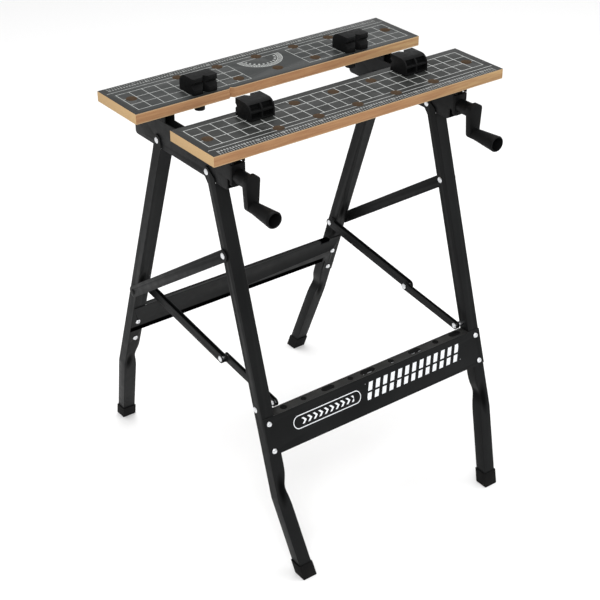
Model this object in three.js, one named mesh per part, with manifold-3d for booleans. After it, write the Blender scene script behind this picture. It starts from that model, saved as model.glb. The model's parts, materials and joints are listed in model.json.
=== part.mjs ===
// Folding clamping workbench: two jaw boards on channel rails, carried by two folding leg frames.
// Millimetres, +Z up. X runs along the boards and -Y is the side with the cranks.
// The bench frame has X = 0 midway between the legs and Y = 0 midway between the open jaw boards;
// the outer group moves the origin to the middle of the footprint, on the floor.
import * as THREE from 'three';
import { mergeVertices } from 'three/addons/utils/BufferGeometryUtils.js';
import Module from 'manifold-3d';

const wasm = await Module();
wasm.setup();

// ---------------------------------------------------------------- driving dimensions
const GAP = 0.3; // clearance between neighbouring pieces
const SIDES = { left: -1, right: 1 };

// Jaw boards
const BOARD_LENGTH = 605;
const BOARD_WIDTH = 124;
const BOARD_THICK = 18;
const BOARD_TOP = 774;
const JAW_OPENING = 86; // between the boards as the bench stands
const JAW_SIDESTEP = 11; // the front board sits this far to the right of the rear one
const NOTCH_X = -114; // V-notch in the rear board's jaw edge
const NOTCH_HALF = 5;
const PEG_HOLE_R = 9.75;
const PEG_ROW_INSET = 29; // rows of peg holes from each long edge
const FRONT_PEG_COLUMNS = [-159, -79, 2, 84, 167];
const REAR_PEG_COLUMNS = [-161, -80, 3, 85, 165];
const END_PEG_X = 273; // single peg hole near each end

// Bench dogs
const DOG = {
  width: 49,
  depth: 44,
  height: 29,
  groove: 7, // half width of both V-grooves in the jaw face
  grooveDepth: 9, // of the upright one
  crossHeight: 16, // middle of the level one
  crossDepth: 7,
  corner: 3, // bevels down the jaw face's sides
  backRound: 16,
  bevel: 2,
  wall: 3, // round the four hollows in the back
  hollow: 11,
};
const PEG_R = 9.25;
const PEG_DROP = 36;

// Rails
const RAIL_X = 234.5; // middle of each rail
const RAIL_WIDTH = 20;
const RAIL_BASE = 690;
const RAIL_TOP = 741.5;
const RAIL_FRONT = -142;
const RAIL_REAR = 148;
const RAIL_CORNER = 6.5;
const RAIL_NOTCH = { rear: -131, top: 710, round: 4 }; // clears the front end below the bearing
const RAIL_SHEET = 2;

// Clamp screws and cranks
const SCREW_Z = 719;
const SCREW_R = 6;
const SCREW_REAR = 60;
const BEARING_BACK = RAIL_FRONT - GAP;
const BEARING_FRONT = -149.5;
const HUB_R = 12.3;
const HUB_BACK = BEARING_FRONT - GAP;
const ARM_BACK = -177;
const ARM_FRONT = -189;
const ARM_HALF = 13.5;
const ARM_CORNER = 6;
const ARM_FOOT_R = 10.5;
const CRANK_THROW = 39;
const GRIP_END = -245;
const GRIP_R = 10;
const GRIP_END_R = 14.5;
const GRIP_WALL = 2.5;
const GRIP_BORE = 42;
const GRIP_LIP = 2; // rounding at the mouth of the grip

// Leg frames; the slopes are sideways travel per unit of height
const SHEET = 1.5;
const FRONT_LEG = {
  outer: 246.8,
  inner: 222.2,
  depth: 23,
  lineAtTop: -83.4,
  slope: -0.308,
  kink: 146,
  footSlope: -0.331,
  webTop: 689.2,
  boltX: 236,
};
const REAR_LEG = {
  outer: 246.8,
  inner: 220.5,
  depth: 22.5,
  lineAtTop: 47.7,
  slope: 0.342,
  kink: 161.5,
  footSlope: 0.326,
  webTop: 689.2,
  boltX: 234,
};
const FRONT_EAR = { radius: 10, shoulder: 698, start: -0.7, end: 2.6 }; // angles in radians
const REAR_EAR = { radius: 11, shoulder: 695, start: -0.5, end: 2.6 };
const EAR_OVERLAP = 8; // ears start this far below the top of the web
const LEG_REACH = [215, 255]; // X range that takes in a whole leg
const LINE_TOP = 740; // height at which the legs' front lines are given
const FOOT_OUTER = 231.8; // channel faces at the ankle height
const FOOT_INNER = 207;
const ANKLE = 25;
const LEG_END = 5.5;
const CAP_TOP = 26;
const CAP_FLOOR = 5;
const CAP_WALL = 1.5;

// Pivots, as (y, z)
const PIVOT_FRONT = [-74.5, 701];
const PIVOT_REAR = [76, 702];
const LINK_FRONT = [-120.5, 568];
const LINK_REAR = [187, 356]; // the upper stay shares this place on the rear leg
const STAY_ELBOW = [-56.2, 322.8];
const STAY_FRONT = [-200.5, 305.5];
const PIN_R = 3;
const HOLE_R = 3.3;
const HEAD_R = 5.5;
const HEAD_HEIGHT = 1.5;
const HEAD_RIM = 0.4; // upright edge of a rivet head
const HEAD_CROWN = 0.7; // part of the radius taken up by the flatter crown
const PLAY = 0.2; // end play under a rivet head

// Folding linkage
const LINK_FACES = [248.9, 250.4];
const LINK_HALF = 10.8;
const UPPER_STAY = { faces: [211.2, 220.2], half: 8.5, sheet: 1.3 };
const LOWER_STAY = { faces: [203.9, 210.9], half: 7.25, sheet: 1.2 };
const COLLAR_R = 5;

// Tool rack and cross panel
const PANEL_HALF = 247;
const PANEL_SHEET = 1.2;
const RACK = { base: 229.5, top: 295, shelf: 22, half: 221.5, lip: 14 };
const RACK_ROUND_HOLES = [[-195, 6.5], [-152, 5.5], [-49, 5.5], [44, 6], [150, 6]]; // x and radius
const RACK_SLOTS = [[-99, 13.5], [-10, 16], [99, 13.5], [197, 13]]; // x and half length
const SLOT_R = 6;
const RACK_BOLT_HEIGHTS = [284.5, 237];
const PANEL = { base: 253, top: 314.5, lip: 12, half: 219, tabBase: 222, tabInner: 222 };
const PANEL_BOLT_HEIGHTS = [277, 233.5];
const BOLT_R = 2.5;
const BOLT_HEAD_R = 5;
const BOLT_HEAD = 2.6;
const BOLT_LENGTH = 9;
const BOLT_HOLE = [-5, 5]; // reach of a bolt hole either side of the leg's front plane

// ---------------------------------------------------------------- materials
function finish(color, roughness, metalness) {
  return new THREE.MeshStandardMaterial({ color, roughness, metalness });
}
const blackSteel = () => finish(0x242526, 0.45, 0.3);
const zinc = () => finish(0xc9ccd0, 0.3, 0.95);
const blackPlastic = () => finish(0x161617, 0.5, 0);
const rubber = () => finish(0x101010, 0.85, 0);
const boardWood = () => finish(0x4a4c4b, 0.6, 0);
const bareSteel = () => finish(0x8f9194, 0.35, 0.9);

// ---------------------------------------------------------------- solids
function toSolid(geometry) {
  const bare = geometry.clone();
  bare.deleteAttribute('normal');
  bare.deleteAttribute('uv');
  const merged = mergeVertices(bare, 1e-4);
  const mesh = new wasm.Mesh({
    numProp: 3,
    vertProperties: new Float32Array(merged.attributes.position.array),
    triVerts: new Uint32Array(merged.index.array),
  });
  return new wasm.Manifold(mesh);
}

function toGeometry(solid) {
  const mesh = solid.getMesh();
  const geometry = new THREE.BufferGeometry();
  geometry.setAttribute('position', new THREE.BufferAttribute(mesh.vertProperties, 3));
  geometry.setIndex(new THREE.BufferAttribute(mesh.triVerts, 1));
  geometry.computeVertexNormals();
  return geometry;
}

function join(...pieces) {
  return toGeometry(pieces.map(toSolid).reduce((whole, piece) => whole.add(piece)));
}

function cut(body, ...tools) {
  return toGeometry(tools.map(toSolid).reduce((left, tool) => left.subtract(tool), toSolid(body)));
}

function common(one, other) {
  return toGeometry(toSolid(one).intersect(toSolid(other)));
}

function box([x0, x1], [y0, y1], [z0, z1]) {
  const geometry = new THREE.BoxGeometry(x1 - x0, y1 - y0, z1 - z0);
  return geometry.translate((x0 + x1) / 2, (y0 + y1) / 2, (z0 + z1) / 2);
}

// A (y, z) outline carried from x0 to x1
const ALONG_X = new THREE.Matrix4().makeBasis(
  new THREE.Vector3(0, 1, 0),
  new THREE.Vector3(0, 0, 1),
  new THREE.Vector3(1, 0, 0),
);

function prismX(outline, [x0, x1], curveSegments = 7) {
  const geometry = new THREE.ExtrudeGeometry(outline, { depth: x1 - x0, bevelEnabled: false, curveSegments });
  return geometry.applyMatrix4(ALONG_X).translate(x0, 0, 0);
}

// An (x, z) outline carried from y0 to y1
function prismY(outline, [y0, y1], curveSegments = 8) {
  const geometry = new THREE.ExtrudeGeometry(outline, { depth: y1 - y0, bevelEnabled: false, curveSegments });
  return geometry.rotateX(Math.PI / 2).translate(0, y1, 0);
}

// An (x, y) outline carried from z0 to z1
function prismZ(outline, [z0, z1], curveSegments = 6) {
  const geometry = new THREE.ExtrudeGeometry(outline, { depth: z1 - z0, bevelEnabled: false, curveSegments });
  return geometry.translate(0, 0, z0);
}

function rodX([y, z], radius, [x0, x1], segments = 12) {
  const rod = new THREE.CylinderGeometry(radius, radius, x1 - x0, segments);
  return rod.rotateZ(Math.PI / 2).translate((x0 + x1) / 2, y, z);
}

function rodY([x, z], radius, [y0, y1], segments = 28) {
  const rod = new THREE.CylinderGeometry(radius, radius, y1 - y0, segments);
  return rod.translate(x, (y0 + y1) / 2, z);
}

function rodZ([x, y], radius, [z0, z1], segments = 20) {
  const rod = new THREE.CylinderGeometry(radius, radius, z1 - z0, segments);
  return rod.rotateX(Math.PI / 2).translate(x, y, (z0 + z1) / 2);
}

// A turned piece: (radius, station) pairs from one end of its axis to the other
function turned(profile, segments = 12) {
  const points = profile.map(([radius, station]) => new THREE.Vector2(radius, station));
  return new THREE.LatheGeometry(points, segments);
}

function polygon(points) {
  return new THREE.Shape(points.map(([a, b]) => new THREE.Vector2(a, b)));
}

const circleHole = (x, y, radius) => new THREE.Path().absarc(x, y, radius, 0, Math.PI * 2, true);

// X range on one side of the bench, whichever side it is
const sideRange = (side, near, far) => (side > 0 ? [near, far] : [-far, -near]);

// Sheared channels and caps: outlines anticlockwise from above, listed from the lowest up
function loft(sections) {
  const count = sections[0].length;
  const top = (sections.length - 1) * count;
  const index = [];
  const outline = sections[0].map(([x, y]) => new THREE.Vector2(x, y));
  for (const [a, b, c] of THREE.ShapeUtils.triangulateShape(outline, [])) {
    index.push(a, c, b);
    index.push(top + a, top + b, top + c);
  }
  for (let low = 0; low < top; low += count) {
    for (let i = 0; i < count; i += 1) {
      const j = (i + 1) % count;
      index.push(low + i, low + j, low + count + j);
      index.push(low + i, low + count + j, low + count + i);
    }
  }
  const geometry = new THREE.BufferGeometry();
  geometry.setAttribute('position', new THREE.Float32BufferAttribute(sections.flat(2), 3));
  geometry.setIndex(index);
  geometry.computeVertexNormals();
  return geometry;
}

// ---------------------------------------------------------------- assembly
const bench = new THREE.Group();

function addPiece(name, geometry, material, [x, y, z] = [0, 0, 0]) {
  const mesh = new THREE.Mesh(geometry, material);
  mesh.name = name;
  mesh.position.set(x, y, z);
  bench.add(mesh);
  return mesh;
}

// ---------------------------------------------------------------- jaw boards
function jawBoard(pegColumns, notchX) {
  const half = BOARD_LENGTH / 2;
  const edge = BOARD_WIDTH / 2;
  const corners = [[half, -edge], [half, edge], [-half, edge], [-half, -edge]];
  if (notchX !== null) {
    corners.push([notchX - NOTCH_HALF, -edge], [notchX, -edge + NOTCH_HALF], [notchX + NOTCH_HALF, -edge]);
  }
  const outline = polygon(corners);
  const row = edge - PEG_ROW_INSET;
  for (const x of pegColumns) {
    outline.holes.push(circleHole(x, row, PEG_HOLE_R), circleHole(x, -row, PEG_HOLE_R));
  }
  outline.holes.push(circleHole(END_PEG_X, 0, PEG_HOLE_R), circleHole(-END_PEG_X, 0, PEG_HOLE_R));
  return prismZ(outline, [0, BOARD_THICK]);
}

const BOARD_Y = (JAW_OPENING + BOARD_WIDTH) / 2;
const BOARD_BASE = BOARD_TOP - BOARD_THICK;
const frontBoard = addPiece('jaw_board_front', jawBoard(FRONT_PEG_COLUMNS, null), boardWood());
frontBoard.position.set(JAW_SIDESTEP, -BOARD_Y, BOARD_BASE);
const rearBoard = addPiece('jaw_board_rear', jawBoard(REAR_PEG_COLUMNS, NOTCH_X), boardWood());
rearBoard.position.set(0, BOARD_Y, BOARD_BASE);

// ---------------------------------------------------------------- bench dogs
// Origin on the peg axis at the board's top; the grooved face looks along +Y
function dogHead() {
  const half = DOG.width / 2;
  const face = DOG.depth / 2;
  const side = new THREE.Shape();
  side.moveTo(-face, GAP);
  side.lineTo(face, GAP);
  side.lineTo(face, DOG.crossHeight - DOG.groove);
  side.lineTo(face - DOG.crossDepth, DOG.crossHeight);
  side.lineTo(face, DOG.crossHeight + DOG.groove);
  side.lineTo(face, DOG.height - DOG.bevel);
  side.lineTo(face - DOG.bevel, DOG.height);
  const round = DOG.backRound;
  side.absarc(round - face, DOG.height - round, round, Math.PI / 2, Math.PI, false);
  const plan = polygon([
    [-half, -face],
    [half, -face],
    [half, face - DOG.corner],
    [half - DOG.corner, face],
    [DOG.groove, face],
    [0, face - DOG.grooveDepth],
    [-DOG.groove, face],
    [DOG.corner - half, face],
    [-half, face - DOG.corner],
  ]);
  return common(prismX(side, [-half, half]), prismZ(plan, [0, DOG.height]));
}

function benchDog() {
  const far = DOG.width / 2 - DOG.wall;
  const near = DOG.wall / 2;
  const back = -DOG.depth / 2;
  const middle = (GAP + DOG.height) / 2;
  const hollows = [[-far, -near], [near, far]].flatMap((across) => [
    box(across, [back - 1, back + DOG.hollow], [GAP + DOG.wall, middle - near]),
    box(across, [back - 1, back + DOG.hollow], [middle + near, DOG.height - DOG.wall]),
  ]);
  return join(cut(dogHead(), ...hollows), rodZ([0, 0], PEG_R, [-PEG_DROP, GAP + 1]));
}

const PEG_ROW = JAW_OPENING / 2 + PEG_ROW_INSET;
const DOGS = {
  bench_dog_front_left: [JAW_SIDESTEP + FRONT_PEG_COLUMNS[0], -PEG_ROW],
  bench_dog_front_right: [JAW_SIDESTEP + FRONT_PEG_COLUMNS[4], -PEG_ROW],
  bench_dog_rear_left: [REAR_PEG_COLUMNS[0], PEG_ROW],
  bench_dog_rear_right: [REAR_PEG_COLUMNS[4], PEG_ROW],
};
for (const [name, [x, y]] of Object.entries(DOGS)) {
  const dog = addPiece(name, benchDog(), blackPlastic(), [x, y, BOARD_TOP]);
  dog.rotation.z = y > 0 ? Math.PI : 0;
}

// ---------------------------------------------------------------- rails and board supports
function rail(side) {
  const outline = new THREE.Shape();
  outline.moveTo(RAIL_FRONT, RAIL_NOTCH.top);
  outline.lineTo(RAIL_NOTCH.rear, RAIL_NOTCH.top);
  const round = RAIL_NOTCH.round;
  outline.absarc(RAIL_NOTCH.rear + round, RAIL_BASE + round, round, Math.PI, Math.PI * 1.5, false);
  outline.absarc(RAIL_REAR - RAIL_CORNER, RAIL_BASE + RAIL_CORNER, RAIL_CORNER, -Math.PI / 2, 0, false);
  outline.lineTo(RAIL_REAR, RAIL_TOP);
  outline.lineTo(RAIL_FRONT, RAIL_TOP);
  const middle = side * RAIL_X;
  const half = RAIL_WIDTH / 2;
  const faces = [middle - half, middle + half];
  const channel = [middle - half + RAIL_SHEET, middle + half - RAIL_SHEET];
  return cut(
    prismX(outline, faces),
    box(channel, [RAIL_FRONT + RAIL_SHEET, RAIL_REAR - RAIL_CORNER], [RAIL_BASE + RAIL_SHEET, RAIL_TOP + 1]),
    rodX(PIVOT_FRONT, HOLE_R, [faces[0] - 1, faces[1] + 1]),
    rodX(PIVOT_REAR, HOLE_R, [faces[0] - 1, faces[1] + 1]),
    rodY([middle, SCREW_Z], SCREW_R + GAP, [RAIL_FRONT - 1, RAIL_FRONT + RAIL_SHEET + 1]),
  );
}

// Under the front board: a plate, and a nut block that rides in the rail on the screw
const CARRIAGE = { plateHalf: 12.5, plate: 2.5, front: -150, rear: -60, wallAt: 11, wallHalf: 1.5 };
const NUT = { half: 7.6, front: -120, rear: -84, below: 4 };
function jawCarriage(side) {
  const middle = side * RAIL_X;
  const top = BOARD_BASE - GAP;
  const plate = box(
    [middle - CARRIAGE.plateHalf, middle + CARRIAGE.plateHalf],
    [CARRIAGE.front, CARRIAGE.rear],
    [top - CARRIAGE.plate, top],
  );
  const wall = (offset) => box(
    [middle + offset - CARRIAGE.wallHalf, middle + offset + CARRIAGE.wallHalf],
    [CARRIAGE.front, CARRIAGE.rear],
    [RAIL_TOP + GAP, top - 1],
  );
  const block = box(
    [middle - NUT.half, middle + NUT.half],
    [NUT.front, NUT.rear],
    [SCREW_Z - SCREW_R - NUT.below, top - 1],
  );
  const bore = rodY([middle, SCREW_Z], SCREW_R + GAP, [NUT.front - 1, NUT.rear + 1]);
  return cut(join(plate, wall(-CARRIAGE.wallAt), wall(CARRIAGE.wallAt), block), bore);
}

// Under the rear board: an upturned channel standing on the rail
const BRACKET = { front: 50, rear: 145, sheet: 2.5 };
function boardBracket(side) {
  const middle = side * RAIL_X;
  const half = RAIL_WIDTH / 2;
  const top = BOARD_BASE - GAP;
  const outside = box([middle - half, middle + half], [BRACKET.front, BRACKET.rear], [RAIL_TOP + GAP, top]);
  const inside = box(
    [middle - half + BRACKET.sheet, middle + half - BRACKET.sheet],
    [BRACKET.front - 1, BRACKET.rear + 1],
    [RAIL_TOP - 1, top - BRACKET.sheet],
  );
  return cut(outside, inside);
}

const BEARING = { half: 13, base: 702, top: 740, corner: 5 };
function screwBearing(side) {
  const middle = side * RAIL_X;
  const [x0, x1] = [middle - BEARING.half, middle + BEARING.half];
  const round = BEARING.corner;
  const outline = new THREE.Shape();
  outline.moveTo(x1, BEARING.top);
  outline.lineTo(x0, BEARING.top);
  outline.absarc(x0 + round, BEARING.base + round, round, Math.PI, Math.PI * 1.5, false);
  outline.absarc(x1 - round, BEARING.base + round, round, Math.PI * 1.5, Math.PI * 2, false);
  outline.holes.push(circleHole(middle, SCREW_Z, SCREW_R + GAP));
  return prismY(outline, [BEARING_FRONT, BEARING_BACK]);
}

// ---------------------------------------------------------------- clamp screws and cranks
// Both are built about the screw axis, with y in the bench frame
const SHANK_R = 4.7;
const SHANK_END = ARM_BACK + 1;
const CRANK_BORE_R = SHANK_R + GAP;
const SCREW_TIP = 1.5; // bevel at the rear end of the screw

function clampScrew() {
  const profile = [
    [0, SHANK_END],
    [SHANK_R, SHANK_END],
    [SHANK_R, BEARING_FRONT],
    [SCREW_R, BEARING_FRONT],
    [SCREW_R, SCREW_REAR - SCREW_TIP],
    [SCREW_R - SCREW_TIP, SCREW_REAR],
    [0, SCREW_REAR],
  ];
  return turned(profile, 24);
}

function crankHandle() {
  const arm = new THREE.Shape();
  const corner = ARM_HALF - ARM_CORNER;
  arm.absarc(corner, corner, ARM_CORNER, 0, Math.PI / 2, false);
  arm.absarc(-corner, corner, ARM_CORNER, Math.PI / 2, Math.PI, false);
  arm.absarc(0, -CRANK_THROW, ARM_FOOT_R, Math.PI, Math.PI * 2, false);
  const gripProfile = [
    [0, GRIP_END + GRIP_BORE],
    [GRIP_R - GRIP_WALL, GRIP_END + GRIP_BORE],
    [GRIP_END_R - GRIP_WALL, GRIP_END],
    [GRIP_END_R - GRIP_LIP / 2, GRIP_END],
    [GRIP_END_R, GRIP_END + GRIP_LIP],
    [GRIP_R, ARM_FRONT + 1],
    [0, ARM_FRONT + 1],
  ];
  const body = join(
    rodY([0, 0], HUB_R, [ARM_BACK - 1, HUB_BACK]),
    prismY(arm, [ARM_FRONT, ARM_BACK]),
    turned(gripProfile, 28).translate(0, 0, -CRANK_THROW),
  );
  return cut(body, rodY([0, 0], CRANK_BORE_R, [ARM_BACK, HUB_BACK + 1]));
}

for (const [word, side] of Object.entries(SIDES)) {
  addPiece(`rail_${word}`, rail(side), blackSteel());
  addPiece(`jaw_carriage_${word}`, jawCarriage(side), blackSteel());
  addPiece(`board_bracket_${word}`, boardBracket(side), blackSteel());
  addPiece(`screw_bearing_${word}`, screwBearing(side), blackPlastic());
  addPiece(`clamp_screw_${word}`, clampScrew(), bareSteel(), [side * RAIL_X, 0, SCREW_Z]);
  addPiece(`crank_handle_${word}`, crankHandle(), blackPlastic(), [side * RAIL_X, 0, SCREW_Z]);
}

// ---------------------------------------------------------------- legs
// Front line of a leg at a height: straight from the top to the kink, then on to the foot
function legLine(leg, z) {
  const aboveKink = leg.lineAtTop + leg.slope * (LINE_TOP - Math.max(z, leg.kink));
  return aboveKink + leg.footSlope * Math.max(leg.kink - z, 0);
}

// Outer and inner X faces at a height; below the kink the channel leans in
function legFaces(leg, z) {
  const lean = Math.max(leg.kink - z, 0) / (leg.kink - ANKLE);
  return [leg.inner + lean * (FOOT_INNER - leg.inner), leg.outer + lean * (FOOT_OUTER - leg.outer)];
}

// Channel outline at a height, with its web in front
function channelSection(leg, side, z) {
  const [near, far] = legFaces(leg, z);
  const [a, b] = sideRange(side, near, far);
  const y0 = legLine(leg, z);
  const y1 = y0 + leg.depth;
  const t = SHEET;
  return [
    [a, y0, z],
    [b, y0, z],
    [b, y1, z],
    [b - t, y1, z],
    [b - t, y0 + t, z],
    [a + t, y0 + t, z],
    [a + t, y1, z],
    [a, y1, z],
  ];
}

// Flanges carry on above the web and end in an ear round the pivot
function legFlanges(leg, side, pivot, ear) {
  const low = leg.webTop - EAR_OVERLAP;
  const outline = new THREE.Shape();
  outline.moveTo(legLine(leg, low), low);
  outline.lineTo(legLine(leg, low) + leg.depth, low);
  outline.absarc(pivot[0], pivot[1], ear.radius, ear.start, ear.end, false);
  outline.lineTo(legLine(leg, ear.shoulder), ear.shoulder);
  const faces = [[leg.outer - SHEET, leg.outer], [leg.inner, leg.inner + SHEET]];
  return faces.map(([near, far]) => prismX(outline, sideRange(side, near, far)));
}

// Slope of a leg's front plane, and a bolt hole square to that plane
const leanAngle = (leg) => Math.atan(leg.slope);
function boltHole(leg, side, z) {
  const [from, to] = BOLT_HOLE;
  const radius = BOLT_R + GAP;
  const rod = new THREE.CylinderGeometry(radius, radius, to - from, 12).translate(0, (from + to) / 2, 0);
  return rod.rotateX(leanAngle(leg)).translate(side * leg.boltX, legLine(leg, z), z);
}

function legPiece(leg, side, pivot, ear, crossPins, boltHeights) {
  const stations = [LEG_END, leg.kink, leg.webTop];
  const channel = loft(stations.map((z) => channelSection(leg, side, z)));
  return cut(
    join(channel, ...legFlanges(leg, side, pivot, ear)),
    ...[pivot, ...crossPins].map((pin) => rodX(pin, HOLE_R, sideRange(side, ...LEG_REACH))),
    ...boltHeights.map((z) => boltHole(leg, side, z)),
  );
}

function frontLeg(side) {
  const pins = [LINK_FRONT, STAY_FRONT];
  return legPiece(FRONT_LEG, side, PIVOT_FRONT, FRONT_EAR, pins, RACK_BOLT_HEIGHTS);
}

function rearLeg(side) {
  return legPiece(REAR_LEG, side, PIVOT_REAR, REAR_EAR, [LINK_REAR], PANEL_BOLT_HEIGHTS);
}

// A shoe over the leg's end, open at the top
function footCap(leg, side) {
  const section = (z, grow) => {
    const [near, far] = legFaces(leg, z);
    const [a, b] = sideRange(side, near, far);
    const y0 = legLine(leg, z);
    const y1 = y0 + leg.depth;
    return [[a - grow, y0 - grow], [b + grow, y0 - grow], [b + grow, y1 + grow], [a - grow, y1 + grow]]
      .map(([x, y]) => [x, y, z]);
  };
  const shell = loft([section(0, GAP + CAP_WALL), section(CAP_TOP, GAP + CAP_WALL)]);
  const socket = loft([section(CAP_FLOOR, GAP), section(CAP_TOP + 1, GAP)]);
  return cut(shell, socket);
}

// ---------------------------------------------------------------- linkage
// Outline with round ends from p to q
function barOutline([y0, z0], [y1, z1], half) {
  const angle = Math.atan2(z1 - z0, y1 - y0);
  const outline = new THREE.Shape();
  outline.absarc(y1, z1, half, angle - Math.PI / 2, angle + Math.PI / 2, false);
  outline.absarc(y0, z0, half, angle + Math.PI / 2, angle + Math.PI * 1.5, false);
  return outline;
}

function linkBar(side) {
  const faces = sideRange(side, ...LINK_FACES);
  const outline = barOutline(LINK_FRONT, LINK_REAR, LINK_HALF);
  outline.holes.push(circleHole(...LINK_FRONT, HOLE_R), circleHole(...LINK_REAR, HOLE_R));
  return prismX(outline, faces);
}

// A stay is a channel, open at the top, from its rear end p to its front end q
function stayChannel(side, stay, p, q) {
  const angle = Math.atan2(q[1] - p[1], q[0] - p[0]);
  const up = [Math.sin(angle), -Math.cos(angle)];
  const along = [Math.cos(angle), Math.sin(angle)];
  const place = (end, run, rise) => [0, 1].map((i) => end[i] + run * along[i] + rise * up[i]);
  const reach = stay.half + 2;
  const floor = stay.sheet - stay.half;
  const inside = polygon([
    place(p, -reach, reach),
    place(p, -reach, floor),
    place(q, reach, floor),
    place(q, reach, reach),
  ]);
  const [near, far] = stay.faces;
  const faces = sideRange(side, near, far);
  return cut(
    prismX(barOutline(p, q, stay.half), faces),
    prismX(inside, sideRange(side, near + stay.sheet, far - stay.sheet)),
    rodX(p, HOLE_R, [faces[0] - 1, faces[1] + 1]),
    rodX(q, HOLE_R, [faces[0] - 1, faces[1] + 1]),
  );
}

// ---------------------------------------------------------------- rivets, pins and bolts
// Stations run outwards from the bench's middle plane; either head can be left off
function headProfile(base, outwards) {
  return [
    [HEAD_R, base],
    [HEAD_R, base + outwards * HEAD_RIM],
    [HEAD_R * HEAD_CROWN, base + outwards * (HEAD_HEIGHT - HEAD_RIM / 2)],
    [0, base + outwards * HEAD_HEIGHT],
  ];
}

function rivetProfile({ inner, outer, innerHead = true, outerHead = true, collar = [] }) {
  const [from, to] = collar;
  return [
    ...(innerHead ? headProfile(inner, -1).reverse() : [[0, inner]]),
    [PIN_R, inner],
    ...(collar.length ? [[PIN_R, from], [COLLAR_R, from], [COLLAR_R, to], [PIN_R, to]] : []),
    [PIN_R, outer],
    ...(outerHead ? headProfile(outer, 1) : [[0, outer]]),
  ];
}

const RIVETS = {
  leg_pivot_front: { at: PIVOT_FRONT, inner: FRONT_LEG.inner - PLAY, outer: FRONT_LEG.outer + PLAY },
  leg_pivot_rear: { at: PIVOT_REAR, inner: REAR_LEG.inner - PLAY, outer: REAR_LEG.outer + PLAY },
  link_rivet_front: {
    at: LINK_FRONT,
    inner: FRONT_LEG.inner - PLAY,
    outer: LINK_FACES[1] + PLAY,
    collar: [FRONT_LEG.outer + GAP, LINK_FACES[0] - GAP],
  },
  link_rivet_rear: {
    at: LINK_REAR,
    inner: REAR_LEG.outer + GAP,
    outer: LINK_FACES[1] + PLAY,
    innerHead: false,
    collar: [REAR_LEG.outer + 2 * GAP, LINK_FACES[0] - GAP],
    finish: blackSteel,
  },
  stay_pin_rear: {
    at: LINK_REAR,
    inner: UPPER_STAY.faces[0] - PLAY,
    outer: REAR_LEG.inner + SHEET + PLAY,
  },
  stay_rivet_outer: {
    at: STAY_ELBOW,
    inner: UPPER_STAY.faces[0],
    outer: UPPER_STAY.faces[1] + PLAY,
    innerHead: false,
  },
  stay_rivet_inner: {
    at: STAY_ELBOW,
    inner: LOWER_STAY.faces[0] - PLAY,
    outer: LOWER_STAY.faces[1],
    outerHead: false,
  },
  stay_pin_front: {
    at: STAY_FRONT,
    inner: LOWER_STAY.faces[0] - PLAY,
    outer: FRONT_LEG.outer + PLAY,
    collar: [LOWER_STAY.faces[1] + GAP, FRONT_LEG.inner - GAP],
  },
};

function addRivets(word, side) {
  for (const [name, rivet] of Object.entries(RIVETS)) {
    const geometry = turned(rivetProfile(rivet)).rotateZ(-side * Math.PI / 2);
    const { finish: rivetFinish = zinc } = rivet;
    addPiece(`${name}_${word}`, geometry, rivetFinish(), [0, ...rivet.at]);
  }
}

// A bolt square to a leg's front plane, its domed head in front of the plate
function plateBolt() {
  const profile = [
    [0, -BOLT_HEAD],
    [BOLT_HEAD_R * HEAD_CROWN, HEAD_RIM - BOLT_HEAD],
    [BOLT_HEAD_R, -HEAD_RIM],
    [BOLT_HEAD_R, 0],
    [BOLT_R, 0],
    [BOLT_R, BOLT_LENGTH],
    [0, BOLT_LENGTH],
  ];
  return turned(profile, 16);
}

function addBolt(name, leg, side, z) {
  const bolt = addPiece(name, plateBolt(), zinc(), [side * leg.boltX, legLine(leg, z), z]);
  bolt.rotation.x = leanAngle(leg);
  bolt.translateY(-PANEL_SHEET - 2 * GAP);
}

// ---------------------------------------------------------------- tool rack and cross panel
// A sheet lying in front of a leg pair between two heights
function frontSheet(leg, [z0, z1], faces) {
  const angle = leanAngle(leg);
  const out = [-Math.cos(angle), -Math.sin(angle)];
  const at = (z, off) => [legLine(leg, z) + off * out[0], z + off * out[1]];
  const face = GAP + PANEL_SHEET;
  const outline = polygon([at(z0, GAP), at(z1, GAP), at(z1, face), at(z0, face)]);
  return prismX(outline, faces);
}

function plateBoltHoles(leg, heights) {
  return [-1, 1].flatMap((side) => heights.map((z) => boltHole(leg, side, z)));
}

function toolRack() {
  const { base, top, shelf, half, lip } = RACK;
  const front = legLine(FRONT_LEG, top) - PANEL_SHEET;
  const rear = front + shelf;
  const row = front + shelf / 2 + 1;
  const through = [top - SLOT_R, top + SLOT_R];
  const ledge = box([-half, half], [front, rear], [top - PANEL_SHEET, top]);
  const downturn = box([-half, half], [rear - PANEL_SHEET, rear], [top - lip, top]);
  const holes = RACK_ROUND_HOLES.map(([x, radius]) => rodZ([x, row], radius, through, 14));
  const slots = RACK_SLOTS.map(([x, reach]) => {
    const outline = new THREE.Shape();
    outline.absarc(x + reach - SLOT_R, row, SLOT_R, -Math.PI / 2, Math.PI / 2, false);
    outline.absarc(x - reach + SLOT_R, row, SLOT_R, Math.PI / 2, Math.PI * 1.5, false);
    return prismZ(outline, through);
  });
  const sheet = frontSheet(FRONT_LEG, [base, top], [-PANEL_HALF, PANEL_HALF]);
  const body = join(sheet, ledge, downturn);
  return cut(body, ...holes, ...slots, ...plateBoltHoles(FRONT_LEG, RACK_BOLT_HEIGHTS));
}

// A lip turned rearwards along one edge of the cross panel
function panelLip(z) {
  const front = legLine(REAR_LEG, z) - PANEL_SHEET;
  const thickness = [z - PANEL_SHEET / 2, z + PANEL_SHEET / 2];
  return box([-PANEL.half, PANEL.half], [front, front + PANEL.lip], thickness);
}

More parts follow.
